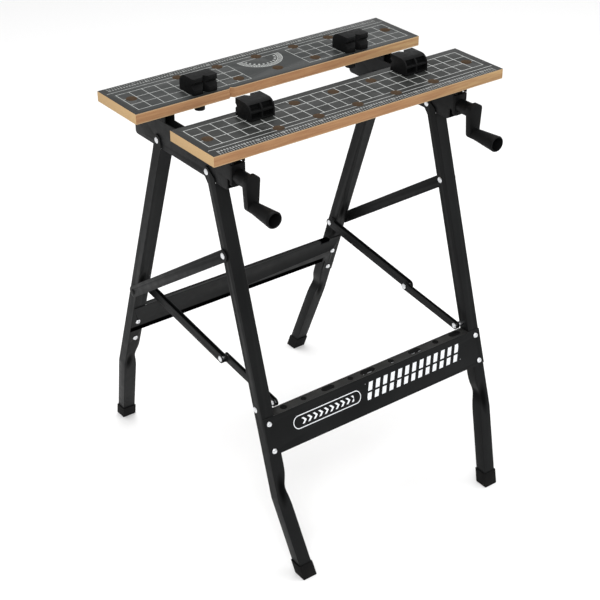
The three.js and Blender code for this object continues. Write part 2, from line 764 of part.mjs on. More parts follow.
function crossPanel() {
  const { base, top, tabBase, tabInner } = PANEL;
  const sheet = frontSheet(REAR_LEG, [base, top], [-PANEL_HALF, PANEL_HALF]);
  const tab = (side) => frontSheet(REAR_LEG, [tabBase, base + 1], sideRange(side, tabInner, PANEL_HALF));
  const lips = [panelLip(top - PANEL_SHEET / 2), panelLip(base + PANEL_SHEET / 2)];
  const body = join(sheet, tab(-1), tab(1), ...lips);
  return cut(body, ...plateBoltHoles(REAR_LEG, PANEL_BOLT_HEIGHTS));
}

for (const [word, side] of Object.entries(SIDES)) {
  addPiece(`front_leg_${word}`, frontLeg(side), blackSteel());
  addPiece(`rear_leg_${word}`, rearLeg(side), blackSteel());
  addPiece(`foot_cap_front_${word}`, footCap(FRONT_LEG, side), rubber());
  addPiece(`foot_cap_rear_${word}`, footCap(REAR_LEG, side), rubber());
  addPiece(`link_bar_${word}`, linkBar(side), blackSteel());
  addPiece(`stay_upper_${word}`, stayChannel(side, UPPER_STAY, LINK_REAR, STAY_ELBOW), blackSteel());
  addPiece(`stay_lower_${word}`, stayChannel(side, LOWER_STAY, STAY_ELBOW, STAY_FRONT), blackSteel());
  addRivets(word, side);
  addBolt(`rack_bolt_upper_${word}`, FRONT_LEG, side, RACK_BOLT_HEIGHTS[0]);
  addBolt(`rack_bolt_lower_${word}`, FRONT_LEG, side, RACK_BOLT_HEIGHTS[1]);
  addBolt(`panel_bolt_upper_${word}`, REAR_LEG, side, PANEL_BOLT_HEIGHTS[0]);
  addBolt(`panel_bolt_lower_${word}`, REAR_LEG, side, PANEL_BOLT_HEIGHTS[1]);
}
addPiece('tool_rack', toolRack(), blackSteel());
addPiece('rear_cross_panel', crossPanel(), blackSteel());

// ---------------------------------------------------------------- origin at the middle of the footprint
const capEdge = GAP + CAP_WALL;
const footprintFront = legLine(FRONT_LEG, 0) - capEdge;
const footprintRear = legLine(REAR_LEG, 0) + REAR_LEG.depth + capEdge;
bench.position.set(-JAW_SIDESTEP / 2, -(footprintFront + footprintRear) / 2, 0);

export default bench;
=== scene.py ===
"""Looks of a folding clamping workbench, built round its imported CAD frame. All sizes are in metres."""
import json
import math

import bmesh
import bpy
from mathutils import Matrix, Vector


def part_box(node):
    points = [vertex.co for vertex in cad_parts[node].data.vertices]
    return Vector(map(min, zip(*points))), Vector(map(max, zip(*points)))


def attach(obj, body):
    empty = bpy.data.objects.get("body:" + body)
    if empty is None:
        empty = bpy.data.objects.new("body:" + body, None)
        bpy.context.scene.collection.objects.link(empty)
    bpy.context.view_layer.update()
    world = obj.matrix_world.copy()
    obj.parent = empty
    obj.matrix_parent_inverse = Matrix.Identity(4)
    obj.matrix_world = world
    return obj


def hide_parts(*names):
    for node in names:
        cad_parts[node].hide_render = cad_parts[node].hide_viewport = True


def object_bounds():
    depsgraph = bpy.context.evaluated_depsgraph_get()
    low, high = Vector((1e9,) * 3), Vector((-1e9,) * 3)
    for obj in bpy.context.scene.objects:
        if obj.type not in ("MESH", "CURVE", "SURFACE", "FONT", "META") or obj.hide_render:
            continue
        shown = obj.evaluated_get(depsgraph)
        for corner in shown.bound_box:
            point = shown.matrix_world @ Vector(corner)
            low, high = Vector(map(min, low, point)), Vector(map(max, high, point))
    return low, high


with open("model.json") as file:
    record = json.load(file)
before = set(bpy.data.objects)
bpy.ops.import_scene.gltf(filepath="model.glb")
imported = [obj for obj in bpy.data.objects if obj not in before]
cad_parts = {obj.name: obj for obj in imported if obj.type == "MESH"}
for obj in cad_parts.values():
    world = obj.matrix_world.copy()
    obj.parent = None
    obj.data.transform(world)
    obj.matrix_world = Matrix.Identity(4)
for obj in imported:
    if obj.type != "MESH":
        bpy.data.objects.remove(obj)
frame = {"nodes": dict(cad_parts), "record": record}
cad_low, cad_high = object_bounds()
nodes = frame["nodes"]
bodies = frame["record"]["behaviour"]["bodies"]
body_of_node = {node: body for body, members in bodies.items() for node in members}

MM = 0.001
SIDES = {"left": -1, "right": 1}


# ---------------------------------------------------------------- shader helpers
class Shader:
    """A material's node tree, with short calls for the nodes that the materials share."""

    def __init__(self, name):
        self.material = bpy.data.materials.new(name)
        self.material.use_nodes = True
        self.tree = self.material.node_tree
        self.surface = self.tree.nodes["Principled BSDF"]

    def node(self, kind, **settings):
        made = self.tree.nodes.new(kind)
        for key, value in settings.items():
            setattr(made, key, value)
        return made

    def link(self, value, socket):
        """Feeds a socket from another socket or from a plain number."""
        if isinstance(value, bpy.types.NodeSocket):
            self.tree.links.new(value, socket)
        else:
            socket.default_value = value

    def math(self, operation, *values):
        made = self.node("ShaderNodeMath", operation=operation)
        for value, socket in zip(values, made.inputs):
            self.link(value, socket)
        return made.outputs[0]

    def coordinates(self):
        """Object coordinates as separate X, Y and Z sockets, and the whole vector."""
        whole = self.node("ShaderNodeTexCoord").outputs["Object"]
        parts = self.node("ShaderNodeSeparateXYZ")
        self.link(whole, parts.inputs[0])
        return parts.outputs[0], parts.outputs[1], parts.outputs[2], whole

    def normal(self):
        """The surface normal as separate X, Y and Z sockets."""
        parts = self.node("ShaderNodeSeparateXYZ")
        self.link(self.node("ShaderNodeTexCoord").outputs["Normal"], parts.inputs[0])
        return parts.outputs[0], parts.outputs[1], parts.outputs[2]

    def stretched(self, vector, scale):
        """The vector with each axis scaled on its own."""
        made = self.node("ShaderNodeMapping")
        self.link(vector, made.inputs["Vector"])
        made.inputs["Scale"].default_value = scale
        return made.outputs[0]

    def noise(self, vector, scale, detail=3.0, roughness=0.5):
        made = self.node("ShaderNodeTexNoise")
        self.link(vector, made.inputs["Vector"])
        made.inputs["Scale"].default_value = scale
        made.inputs["Detail"].default_value = detail
        made.inputs["Roughness"].default_value = roughness
        return made.outputs["Fac"]

    def remap(self, value, low, high, out_low, out_high):
        made = self.node("ShaderNodeMapRange")
        for part, socket in zip((value, low, high, out_low, out_high), made.inputs):
            self.link(part, socket)
        return made.outputs[0]

    def mix(self, factor, first, second):
        """Mixes two colours, each a socket or an (r, g, b) triple."""
        made = self.node("ShaderNodeMix", data_type="RGBA")
        self.link(factor, made.inputs["Factor"])
        for value, socket in zip((first, second), (made.inputs[6], made.inputs[7])):
            self.link((*value, 1.0) if isinstance(value, tuple) else value, socket)
        return made.outputs[2]

    def bump(self, height, distance, strength=1.0):
        made = self.node("ShaderNodeBump")
        made.inputs["Strength"].default_value = strength
        made.inputs["Distance"].default_value = distance
        self.link(height, made.inputs["Height"])
        self.link(made.outputs[0], self.surface.inputs["Normal"])

    def paint(self, colour, roughness, metallic=0.0):
        self.recolour((*colour, 1.0) if isinstance(colour, tuple) else colour)
        self.link(roughness, self.surface.inputs["Roughness"])
        self.surface.inputs["Metallic"].default_value = metallic

    def recolour(self, colour):
        self.link(colour, self.surface.inputs["Base Color"])

    def colour(self):
        """The socket that feeds the surface's colour so far."""
        return self.surface.inputs["Base Color"].links[0].from_socket

    def specular(self, level):
        self.link(level, self.surface.inputs["Specular IOR Level"])

    def in_mm(self, value, origin, sign=1):
        """A coordinate in millimetres from an origin, turned round where sign is -1."""
        return self.math("MULTIPLY", self.math("SUBTRACT", value, origin), sign / MM)

    def distance(self, run, rise):
        squares = (self.math("MULTIPLY", part, part) for part in (run, rise))
        return self.math("SQRT", self.math("ADD", *squares))

    # Masks: 1 inside the mark, 0 outside
    def within(self, value, low, high):
        above = self.math("GREATER_THAN", value, low)
        return self.math("MULTIPLY", above, self.math("LESS_THAN", value, high))

    def lines(self, value, start, pitch, width):
        """Repeating lines across an axis."""
        distance = self.math("PINGPONG", self.math("SUBTRACT", value, start), pitch / 2)
        return self.math("LESS_THAN", distance, width / 2)

    def line(self, value, place, width):
        return self.within(value, place - width / 2, place + width / 2)

    def both(self, *masks):
        result = masks[0]
        for mask in masks[1:]:
            result = self.math("MULTIPLY", result, mask)
        return result

    def either(self, *masks):
        result = masks[0]
        for mask in masks[1:]:
            result = self.math("MAXIMUM", result, mask)
        return result

    def outside(self, mask):
        return self.math("SUBTRACT", 1.0, mask)


# ---------------------------------------------------------------- materials
COAT_SPECULAR = 0.08
PLASTIC_SPECULAR = 0.06
RUBBER_SPECULAR = 0.08
BOARD_SPECULAR = 0.13
# sheen left where a leg dent gets painted shade
DENT_SHADE_SPECULAR = 0.01


def powder_coat(name="powder_coat"):
    """Satin black powder coat with its fine orange peel."""
    s = Shader(name)
    *_, place = s.coordinates()
    cloud = s.noise(place, 9.0, 4.0)
    colour = s.mix(s.remap(cloud, 0.3, 0.7, 0.0, 1.0), (0.0048, 0.0051, 0.0053), (0.0080, 0.0084, 0.0086))
    s.paint(colour, s.remap(s.noise(place, 60.0, 3.0), 0.3, 0.7, 0.38, 0.50))
    s.specular(COAT_SPECULAR)
    s.bump(s.noise(place, 1100.0, 2.0), 0.00006, 0.5)
    return s


def black_plastic():
    """Moulded black plastic with a fine spark-eroded grain."""
    s = Shader("black_plastic")
    *_, place = s.coordinates()
    cloud = s.noise(place, 25.0, 3.0)
    colour = s.mix(s.remap(cloud, 0.3, 0.7, 0.0, 1.0), (0.0034, 0.0035, 0.0036), (0.0056, 0.0058, 0.0060))
    s.paint(colour, s.remap(s.noise(place, 140.0, 2.0), 0.3, 0.7, 0.40, 0.54))
    s.specular(PLASTIC_SPECULAR)
    s.bump(s.noise(place, 2400.0, 2.0), 0.00005, 0.6)
    return s


def foot_rubber():
    """Matt black rubber, a little dusty."""
    s = Shader("foot_rubber")
    *_, place = s.coordinates()
    dust = s.remap(s.noise(place, 70.0, 5.0, 0.65), 0.45, 0.75, 0.0, 1.0)
    colour = s.mix(dust, (0.0040, 0.0040, 0.0040), (0.0100, 0.0096, 0.0092))
    s.paint(colour, s.remap(dust, 0.0, 1.0, 0.72, 0.88))
    s.specular(RUBBER_SPECULAR)
    s.bump(s.noise(place, 1500.0, 3.0), 0.00008, 0.6)
    return s


def zinc_plate():
    """Bright zinc plate with faint clouding."""
    s = Shader("zinc_plate")
    *_, place = s.coordinates()
    cloud = s.remap(s.noise(place, 350.0, 4.0), 0.3, 0.7, 0.0, 1.0)
    s.paint(s.mix(cloud, (0.60, 0.61, 0.63), (0.76, 0.77, 0.78)), s.remap(cloud, 0.0, 1.0, 0.22, 0.36), 1.0)
    s.bump(s.noise(place, 3000.0, 2.0), 0.00003, 0.4)
    return s


def screw_steel():
    """Oiled steel, darker in patches."""
    s = Shader("screw_steel")
    *_, place = s.coordinates()
    oil = s.remap(s.noise(place, 90.0, 4.0), 0.35, 0.7, 0.0, 1.0)
    s.paint(s.mix(oil, (0.34, 0.345, 0.35), (0.16, 0.155, 0.15)), s.remap(oil, 0.0, 1.0, 0.28, 0.42), 1.0)
    s.bump(s.noise(place, 2000.0, 2.0), 0.00003, 0.4)
    return s


# Printed marks on the boards, in millimetres
GRID_CELL = 25.0
GRID_COLUMNS = 23
GRID_ROW = 24.5
GRID_ROWS = 3
GRID_INSET = 15.3  # from the jaw edge to the first line
GRID_HALF = GRID_CELL * GRID_COLUMNS / 2
LINE_WIDTH = 1.3
RULER_INSET = 23.0  # ruler line from the outer edge
RULER_OVERHANG = 10.0  # past the ends of the grid
TICK_PITCH = 5.0
TICK_FOOT = 1.5  # from the outer edge, like the tops below
FINE_TICK_TOP = 7.5
COARSE_TICK_TOP = 15.0
COARSE_TICK_WIDTH = 1.6
NUMERAL_PITCH = 5.4  # plain blocks stand in for the numerals
NUMERAL_WIDTH = 2.9
NUMERAL_FOOT = 10.0
NUMERAL_TOP = 15.0
TICK_STRENGTH = 0.6
PLAIN_HALF = 62.0  # half of the plain field round the protractor
PLAIN_INSET = 30.0
PROTRACTOR_R = 44.0
PROTRACTOR_SHIFT = 1.5
PROTRACTOR_INSET = 36.0
MARGIN_END = 4.0  # darker lacquer beyond the grid
MARGIN_JAW = 6.0
MARGIN_OUTER = 16.0
NOTCH_HALF = 5 * MM
WALL_DEPTH = 0.6  # faces deeper inside the outline are walls of peg holes
BOARD_LOOKS = {
    "front": {"lacquer": ((0.015, 0.016, 0.015), (0.024, 0.025, 0.024)), "ink": (0.46, 0.47, 0.46)},
    "rear": {"lacquer": ((0.021, 0.023, 0.023), (0.032, 0.034, 0.033)), "ink": (0.36, 0.37, 0.36)},
}


def board_marks(s, along, across, width, with_protractor):
    """The grid, ruler line, ticks and numeral blocks, and the protractor in its plain field."""
    edge = LINE_WIDTH / 2
    depth = GRID_ROW * GRID_ROWS
    in_grid_x = s.within(along, -GRID_HALF - edge, GRID_HALF + edge)
    in_grid_y = s.within(across, GRID_INSET - edge, GRID_INSET + depth + edge)
    crossing = s.lines(along, -GRID_HALF, GRID_CELL, LINE_WIDTH)
    running = s.lines(across, GRID_INSET, GRID_ROW, LINE_WIDTH)
    grid = s.both(in_grid_x, in_grid_y, s.either(crossing, running))
    ruler_end = GRID_HALF + RULER_OVERHANG
    ruler = s.both(s.within(along, -ruler_end, ruler_end), s.line(across, width - RULER_INSET, LINE_WIDTH))
    fine = s.both(
        s.lines(along, -GRID_HALF, TICK_PITCH, LINE_WIDTH),
        s.within(across, width - FINE_TICK_TOP, width - TICK_FOOT),
    )
    coarse = s.both(
        s.lines(along, -GRID_HALF, GRID_CELL, COARSE_TICK_WIDTH),
        s.within(across, width - COARSE_TICK_TOP, width - TICK_FOOT),
    )
    numerals = s.both(
        s.lines(along, -GRID_HALF + NUMERAL_PITCH / 2, NUMERAL_PITCH, NUMERAL_WIDTH),
        s.within(across, width - NUMERAL_TOP, width - NUMERAL_FOOT),
    )
    ticks = s.both(s.within(along, -GRID_HALF - 1, GRID_HALF + 1), s.either(fine, coarse, numerals))
    marks = s.either(grid, ruler, s.math("MULTIPLY", ticks, TICK_STRENGTH))
    if not with_protractor:
        return marks
    plain = s.both(s.within(along, -PLAIN_HALF, PLAIN_HALF), s.within(across, 0.0, width - PLAIN_INSET))
    marks = s.math("MULTIPLY", marks, s.outside(plain))
    shifted = s.math("SUBTRACT", along, PROTRACTOR_SHIFT)
    return s.either(marks, protractor(s, shifted, across, width - PROTRACTOR_INSET))


def lacquered_top(s, place, along, across, width, look, marks):
    """Pale print over dark lacquer, with the mask that wears the print."""
    worn = s.remap(s.noise(place, 260.0, 4.0, 0.6), 0.35, 0.65, 0.62, 1.0)
    cloud = s.remap(s.noise(place, 14.0, 5.0, 0.6), 0.3, 0.7, 0.0, 1.0)
    lacquer = s.mix(cloud, *look["lacquer"])
    field_end = GRID_HALF + MARGIN_END
    field = s.both(s.within(along, -field_end, field_end), s.within(across, MARGIN_JAW, width - MARGIN_OUTER))
    lacquer = s.mix(s.math("MULTIPLY", s.outside(field), 0.5), lacquer, (0.007, 0.007, 0.007))
    return s.mix(s.math("MULTIPLY", marks, worn), lacquer, look["ink"]), worn


def fibreboard(s, place, along, z, low, high, flecks):
    """The long edges: flecked, paler to one end, layered, and pale again next to the two faces."""
    warm = s.remap(s.noise(place, 12.0, 3.0), 0.3, 0.7, 0.0, 1.0)
    core = s.mix(flecks, s.mix(warm, (0.25, 0.125, 0.056), (0.30, 0.160, 0.075)), (0.40, 0.235, 0.120))
    pale = s.math("MINIMUM", s.math("MAXIMUM", s.remap(along, 60.0, 300.0, 0.0, 0.55), 0.0), 0.55)
    core = s.mix(pale, core, (0.44, 0.32, 0.15))
    layers = s.remap(s.noise(s.stretched(place, (0.25, 0.25, 4.0)), 60.0, 4.0, 0.6), 0.35, 0.7, 0.0, 0.6)
    core = s.mix(layers, core, (0.20, 0.088, 0.042))
    below_top = s.math("GREATER_THAN", z, high.z - 1.6 * MM)
    above_base = s.math("LESS_THAN", z, low.z + 1.6 * MM)
    return s.mix(s.math("MULTIPLY", s.either(below_top, above_base), 0.55), core, (0.46, 0.33, 0.19))


def board_material(side, node, jaw_sign):
    """Fibreboard edges and a dark printed top: jaw_sign is +1 where the jaw edge faces +Y."""
    s = Shader(f"{side}_board")
    x, y, z, place = s.coordinates()
    low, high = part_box(node)
    along = s.in_mm(x, (low.x + high.x) / 2)
    across = s.in_mm(y, high.y if jaw_sign > 0 else low.y, -jaw_sign)
    width = (high.y - low.y) / MM
    marks = board_marks(s, along, across, width, side == "rear")
    top, worn = lacquered_top(s, place, along, across, width, BOARD_LOOKS[side], marks)

    flecks = s.remap(s.noise(s.stretched(place, (1.0, 1.0, 3.0)), 900.0, 4.0, 0.7), 0.3, 0.75, 0.0, 1.0)
    core = fibreboard(s, place, along, z, low, high, flecks)
    normal_x, _, normal_z = s.normal()
    is_end = s.math("GREATER_THAN", s.math("ABSOLUTE", normal_x), 0.7)
    edges = s.mix(is_end, core, s.mix(flecks, (0.41, 0.265, 0.13), (0.55, 0.385, 0.205)))
    half_length = (high.x - low.x) / MM / 2
    notch = NOTCH_HALF / MM if side == "rear" else 0.0
    # painted shade: the walls of the peg holes are darkened
    peg_hole_shade = s.both(
        s.within(along, WALL_DEPTH - half_length, half_length - WALL_DEPTH),
        s.within(across, notch + WALL_DEPTH, width - WALL_DEPTH),
    )
    edges = s.mix(peg_hole_shade, edges, (0.092, 0.062, 0.040))
    is_top = s.both(s.math("GREATER_THAN", normal_z, 0.5), s.math("GREATER_THAN", z, high.z - 0.4 * MM))
    body = s.mix(s.math("LESS_THAN", normal_z, -0.5), edges, (0.20, 0.12, 0.06))
    s.paint(s.mix(is_top, body, top), s.remap(is_top, 0.0, 1.0, 0.78, 0.42))
    rough = s.mix(flecks, (0, 0, 0), (1, 1, 1))
    smooth = s.mix(worn, (0.4, 0.4, 0.4), (0.5, 0.5, 0.5))
    s.bump(s.mix(is_top, rough, smooth), 0.00012, 0.5)
    s.specular(BOARD_SPECULAR)
    return s


def protractor(s, along, across, base):
    """Half rings and degree ticks, opening towards the jaw edge."""
    rise = s.math("SUBTRACT", base, across)
    radius = s.distance(along, rise)
    angle = s.math("ARCTAN2", rise, along)
    upper = s.math("GREATER_THAN", rise, 0.0)
    rings = [s.line(radius, r, LINE_WIDTH) for r in (PROTRACTOR_R, PROTRACTOR_R - 8)]
    fine = s.both(
        s.lines(angle, 0.0, math.radians(4), math.radians(1.9)),
        s.within(radius, PROTRACTOR_R - 7, PROTRACTOR_R),
    )
    figures = s.both(
        s.lines(angle, 0.0, math.radians(15), math.radians(6.0)),
        s.within(radius, PROTRACTOR_R - 15, PROTRACTOR_R - 10.5),
    )
    baseline = s.both(s.line(rise, 0.5, LINE_WIDTH), s.within(along, -PROTRACTOR_R, PROTRACTOR_R))
    return s.either(s.both(upper, s.either(*rings, fine, figures)), baseline)


def leg_material(name, dent_shades):
    """Powder coat with each dent, (x, z, half width, half height), bumped in and darkened with painted shade.
    """
    s = powder_coat(name)
    x, _, z, _ = s.coordinates()
    masks = []
    for middle_x, middle_z, half_x, half_z in dent_shades:
        run = s.math("DIVIDE", s.math("SUBTRACT", x, middle_x), half_x)
        rise = s.math("DIVIDE", s.math("SUBTRACT", z, middle_z), half_z)
        masks.append(s.remap(s.distance(run, rise), 0.35, 1.0, 1.0, 0.0))
    dent_shading = s.either(*masks)
    # painted shade: each dent is darkened
    s.recolour(s.mix(s.math("MULTIPLY", dent_shading, 0.75), s.colour(), (0.0012, 0.0012, 0.0012)))
    grain = s.surface.inputs["Normal"].links[0].from_socket
    s.bump(s.outside(dent_shading), 0.0012, 0.8)
    s.link(grain, s.surface.inputs["Normal"].links[0].from_node.inputs["Normal"])
    # painted shade: each dent loses most of its sheen
    s.specular(s.remap(dent_shading, 0.0, 1.0, COAT_SPECULAR, DENT_SHADE_SPECULAR))
    return s


PANEL_HEIGHT = 61.5 * MM  # of the sheet between its end tabs
# the dark band along the bottom edge is painted shade; it fades out between these
BOTTOM_SHADE_FADE_START = 34 * MM  # the dark roll fades out between these, from the panel's right end
BOTTOM_SHADE_FADE_END = 28 * MM


def panel_material():
    """Powder coat with painted shade along the bottom edge, a painted shadow in the upper corner on the right
    and a patchy painted highlight band above.
    """
    s = powder_coat("panel_powder_coat")
    x, _, z, place = s.coordinates()
    _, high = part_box("rear_cross_panel")
    edge = high.z - PANEL_HEIGHT
    above_edge = s.math("GREATER_THAN", z, edge)
    # painted shade along the bottom edge
    bottom_shade = s.remap(z, edge + 10 * MM, edge + 13 * MM, 1.0, 0.0)
    reach = s.remap(x, high.x - BOTTOM_SHADE_FADE_START, high.x - BOTTOM_SHADE_FADE_END, 1.0, 0.0)
    # painted shadow in the upper corner on the right, beside the leg
    near_top = s.remap(z, high.z - 9 * MM, high.z - 5 * MM, 0.0, 1.0)
    corner = s.both(s.within(x, high.x - 52 * MM, high.x - 30 * MM), near_top)
    dark = s.either(s.both(above_edge, bottom_shade, reach), corner)
    colour = s.mix(dark, s.colour(), (0.0003, 0.0003, 0.0003))
    # painted highlight: a patchy lighter band below the top edge
    patchy = s.remap(s.noise(place, 22.0, 4.0), 0.45, 0.7, 0.0, 0.5)
    highlight_band = s.both(s.within(z, high.z - 24 * MM, high.z - 12 * MM), patchy)
    s.recolour(s.mix(highlight_band, colour, (0.013, 0.013, 0.012)))
    # painted shade has no sheen
    s.specular(s.remap(dark, 0.0, 1.0, COAT_SPECULAR, 0.0))
    return s


# Graphic on the tool rack, in millimetres from its middle and its upper edge
CAPSULE_X = -115.0
CAPSULE_Z = -28.0
CAPSULE_RUN = 62.0
CAPSULE_R = 11.0
CHEVRON_HALF_RUN = 58.0
CHEVRON_HALF_RISE = 5.5
BAR_Z = -27.0
BAR_HALF_RISE = 15.0
BAR_START = -28.0
BAR_END = 192.0
BAR_SLANT = 0.35


def rack_material():
    """Powder coat with a generic white graphic: a capsule of chevrons and a band of slanted bars."""
    s = powder_coat("rack_powder_coat")
    x, _, z, place = s.coordinates()
    low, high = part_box("tool_rack")
    along = s.in_mm(x, (low.x + high.x) / 2)
    up = s.in_mm(z, high.z)

    past_middle = s.math("ABSOLUTE", s.math("SUBTRACT", along, CAPSULE_X))
    run = s.math("MAXIMUM", s.math("SUBTRACT", past_middle, CAPSULE_RUN), 0.0)
    rise = s.math("SUBTRACT", up, CAPSULE_Z)
    outline = s.line(s.distance(run, rise), CAPSULE_R, 1.5)
    chevrons = s.both(
        s.lines(s.math("ADD", along, s.math("ABSOLUTE", rise)), CAPSULE_X, 12.0, 4.5),
        s.within(rise, -CHEVRON_HALF_RISE, CHEVRON_HALF_RISE),
        s.within(along, CAPSULE_X - CHEVRON_HALF_RUN, CAPSULE_X + CHEVRON_HALF_RUN),
    )
    band_height = s.math("SUBTRACT", up, BAR_Z)
    bars = s.both(
        s.lines(s.math("SUBTRACT", along, s.math("MULTIPLY", band_height, BAR_SLANT)), -20.0, 17.0, 9.0),
        s.within(band_height, -BAR_HALF_RISE, BAR_HALF_RISE),
        s.within(along, BAR_START, BAR_END),
    )
    stripe = s.outside(s.within(band_height, -3.0, 0.5))
    marks = s.either(outline, chevrons, s.math("MULTIPLY", bars, stripe))
    _, normal_y, normal_z = s.normal()
    in_front = s.math("LESS_THAN", normal_y, -0.8)
    worn = s.remap(s.noise(place, 300.0, 4.0), 0.3, 0.6, 0.8, 1.0)
    on_ledge = s.both(s.math("GREATER_THAN", normal_z, 0.8), s.math("GREATER_THAN", z, high.z - 2 * MM))
    dust = s.both(on_ledge, s.remap(s.noise(place, 45.0, 4.0), 0.3, 0.7, 0.5, 1.0))
    dusty = s.mix(dust, s.colour(), (0.026, 0.026, 0.025))
    s.recolour(s.mix(s.both(marks, in_front, worn), dusty, (0.74, 0.76, 0.78)))
    return s


MATERIALS = {
    "black_steel": powder_coat().material,
    "black_plastic": black_plastic().material,
    "foot_rubber": foot_rubber().material,
    "zinc_hardware": zinc_plate().material,
    "screw_steel": screw_steel().material,
}
SLOTS = {row["node"]: row["material_slot"] for row in frame["record"]["subparts"]}


# ---------------------------------------------------------------- mesh helpers
WELD_REACH = 0.002 * MM
FLAT_ANGLE = math.radians(1.0)
SHARP = 35.0  # degrees: sharper edges are rounded and stay sharp in the shading


def new_object(name, bm):
    mesh = bpy.data.meshes.new(name)
    bm.normal_update()
    bm.to_mesh(mesh)
    bm.free()
    made = bpy.data.objects.new(name, mesh)
    bpy.context.scene.collection.objects.link(made)
    return made


def place_point(axis, station, a, b):
    """A point at a station on an axis, with its outline's two coordinates on the other axes."""
    return {"X": (station, a, b), "Y": (a, station, b), "Z": (a, b, station)}[axis]


def bridge(bm, rings):
    """Joins rings of equal length with quads, and closes the first and last."""
    loops = [[bm.verts.new(point) for point in ring] for ring in rings]
    for first, second in zip(loops, loops[1:]):
        for i in range(len(first)):
            j = (i + 1) % len(first)
            bm.faces.new((first[i], first[j], second[j], second[i]))
    bm.faces.new(reversed(loops[0]))
    bm.faces.new(loops[-1])
    bmesh.ops.recalc_face_normals(bm, faces=bm.faces)


def prism(name, outline, axis, low, high):
    """An outline, as points on the two other axes, drawn out along an axis."""
    bm = bmesh.new()
    bridge(bm, [[place_point(axis, station, a, b) for a, b in outline] for station in (low, high)])
    return new_object(name, bm)


def lathe(name, profile, axis, centre, segments=48):
    """Turns (radius, station) pairs about an axis through centre, its two other coordinates."""
    bm = bmesh.new()
    loops = []
    for radius, station in profile:
        if radius == 0:
            loops.append([bm.verts.new(place_point(axis, station, *centre))])
            continue
        ring = []
        for i in range(segments):
            turn = math.tau * i / segments
            spot = (centre[0] + radius * math.cos(turn), centre[1] + radius * math.sin(turn))
            ring.append(bm.verts.new(place_point(axis, station, *spot)))
        loops.append(ring)
    for first, second in zip(loops, loops[1:]):
        for i in range(segments):
            j = (i + 1) % segments
            if len(first) == 1:
                bm.faces.new((first[0], second[j], second[i]))
            elif len(second) == 1:
                bm.faces.new((first[i], first[j], second[0]))
            else:
                bm.faces.new((first[i], first[j], second[j], second[i]))
    bmesh.ops.recalc_face_normals(bm, faces=bm.faces)
    return new_object(name, bm)


def bake_modifiers(made):
    """Turns an object's modifiers into plain mesh."""
    bpy.context.view_layer.update()
    evaluated = made.evaluated_get(bpy.context.evaluated_depsgraph_get())
    mesh = bpy.data.meshes.new_from_object(evaluated)
    made.modifiers.clear()
    made.data = mesh


def combine(made, operation, *tools):
    """Joins or cuts with other objects, which are used up."""
    for tool in tools:
        modifier = made.modifiers.new("combine", "BOOLEAN")
        modifier.operation = operation
        modifier.solver = "EXACT"
        modifier.object = tool
    bake_modifiers(made)
    for tool in tools:
        bpy.data.objects.remove(tool)


def weld(made):
    """Welds doubles and melts flat seams, so that edges round cleanly."""
    bm = bmesh.new()
    bm.from_mesh(made.data)
    bmesh.ops.remove_doubles(bm, verts=bm.verts, dist=WELD_REACH)
    bmesh.ops.dissolve_limit(bm, angle_limit=FLAT_ANGLE, verts=bm.verts, edges=bm.edges)
    bm.to_mesh(made.data)
    bm.free()
    return made


def shade(made, angle=SHARP):
    """Shades smooth except over the edges sharper than the angle."""
    made.data.shade_smooth()
    made.data.set_sharp_from_angle(angle=math.radians(angle))


def round_edges(made, width, segments=2, angle=SHARP):
    """Rounds the edges sharper than the angle, then shades the rest smooth."""
    modifier = made.modifiers.new("round", "BEVEL")
    modifier.width = width
    modifier.segments = segments
    modifier.limit_method = "ANGLE"
    modifier.angle_limit = math.radians(angle)
    modifier.use_clamp_overlap = True
    bake_modifiers(made)
    shade(made, angle)
    return made


def dress(made, node, material=None):
    """Gives a finished piece its material and body, in place of its CAD node; the material is its slot's
    unless another is given.
    """
    made.data.materials.clear()
    made.data.materials.append(material or MATERIALS[SLOTS[node]])
    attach(made, body_of_node[node])
    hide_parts(node)
    return made


def cad_copy(node):
    """A CAD node's mesh as a new object, with its flat seams melted."""
    bm = bmesh.new()
    bm.from_mesh(nodes[node].data)
    return weld(new_object(f"{node}_skin", bm))


def skin(node, width, segments=2):
    """A copy of a CAD node with rounded edges."""
    dress(round_edges(cad_copy(node), width, segments), node)


CUT_EDGE_R = 0.35 * MM
BEND_RUN = 30 * MM  # an edge longer than this, between faces wider than the next, is a bend
BEND_FACE = 5 * MM


def folded_sheet(node, radius, material=None):
    """A copy of a sheet steel node: its long bends get the radius, its cut edges a fine one."""
    made = cad_copy(node)
    bm = bmesh.new()
    bm.from_mesh(made.data)
    weight = bm.edges.layers.float.new("bevel_weight_edge")
    for line in bm.edges:
        if len(line.link_faces) != 2 or line.calc_face_angle(0.0) < math.radians(SHARP):
            continue
        run = line.calc_length()
        across = min(face.calc_area() / run for face in line.link_faces)
        is_bend = run > BEND_RUN and across > BEND_FACE and line.is_convex
        line[weight] = 1.0 if is_bend else CUT_EDGE_R / radius
    bm.to_mesh(made.data)
    bm.free()
    modifier = made.modifiers.new("round", "BEVEL")
    modifier.width = radius
    modifier.segments = 4
    modifier.limit_method = "WEIGHT"
    bake_modifiers(made)
    shade(made)
    return dress(made, node, material)


LEG_WIDTH = 24.6 * MM
PINCH = 6 * MM
PINCH_REACH = 17 * MM
PINCH_LEVELS = [step * 6 * MM for step in range(-7, 8)]  # cuts across the leg, from the bend
PINCH_COLUMNS = [step * 5 * MM for step in (-1.5, -0.5, 0.5, 1.5)]  # cuts along it, from its middle


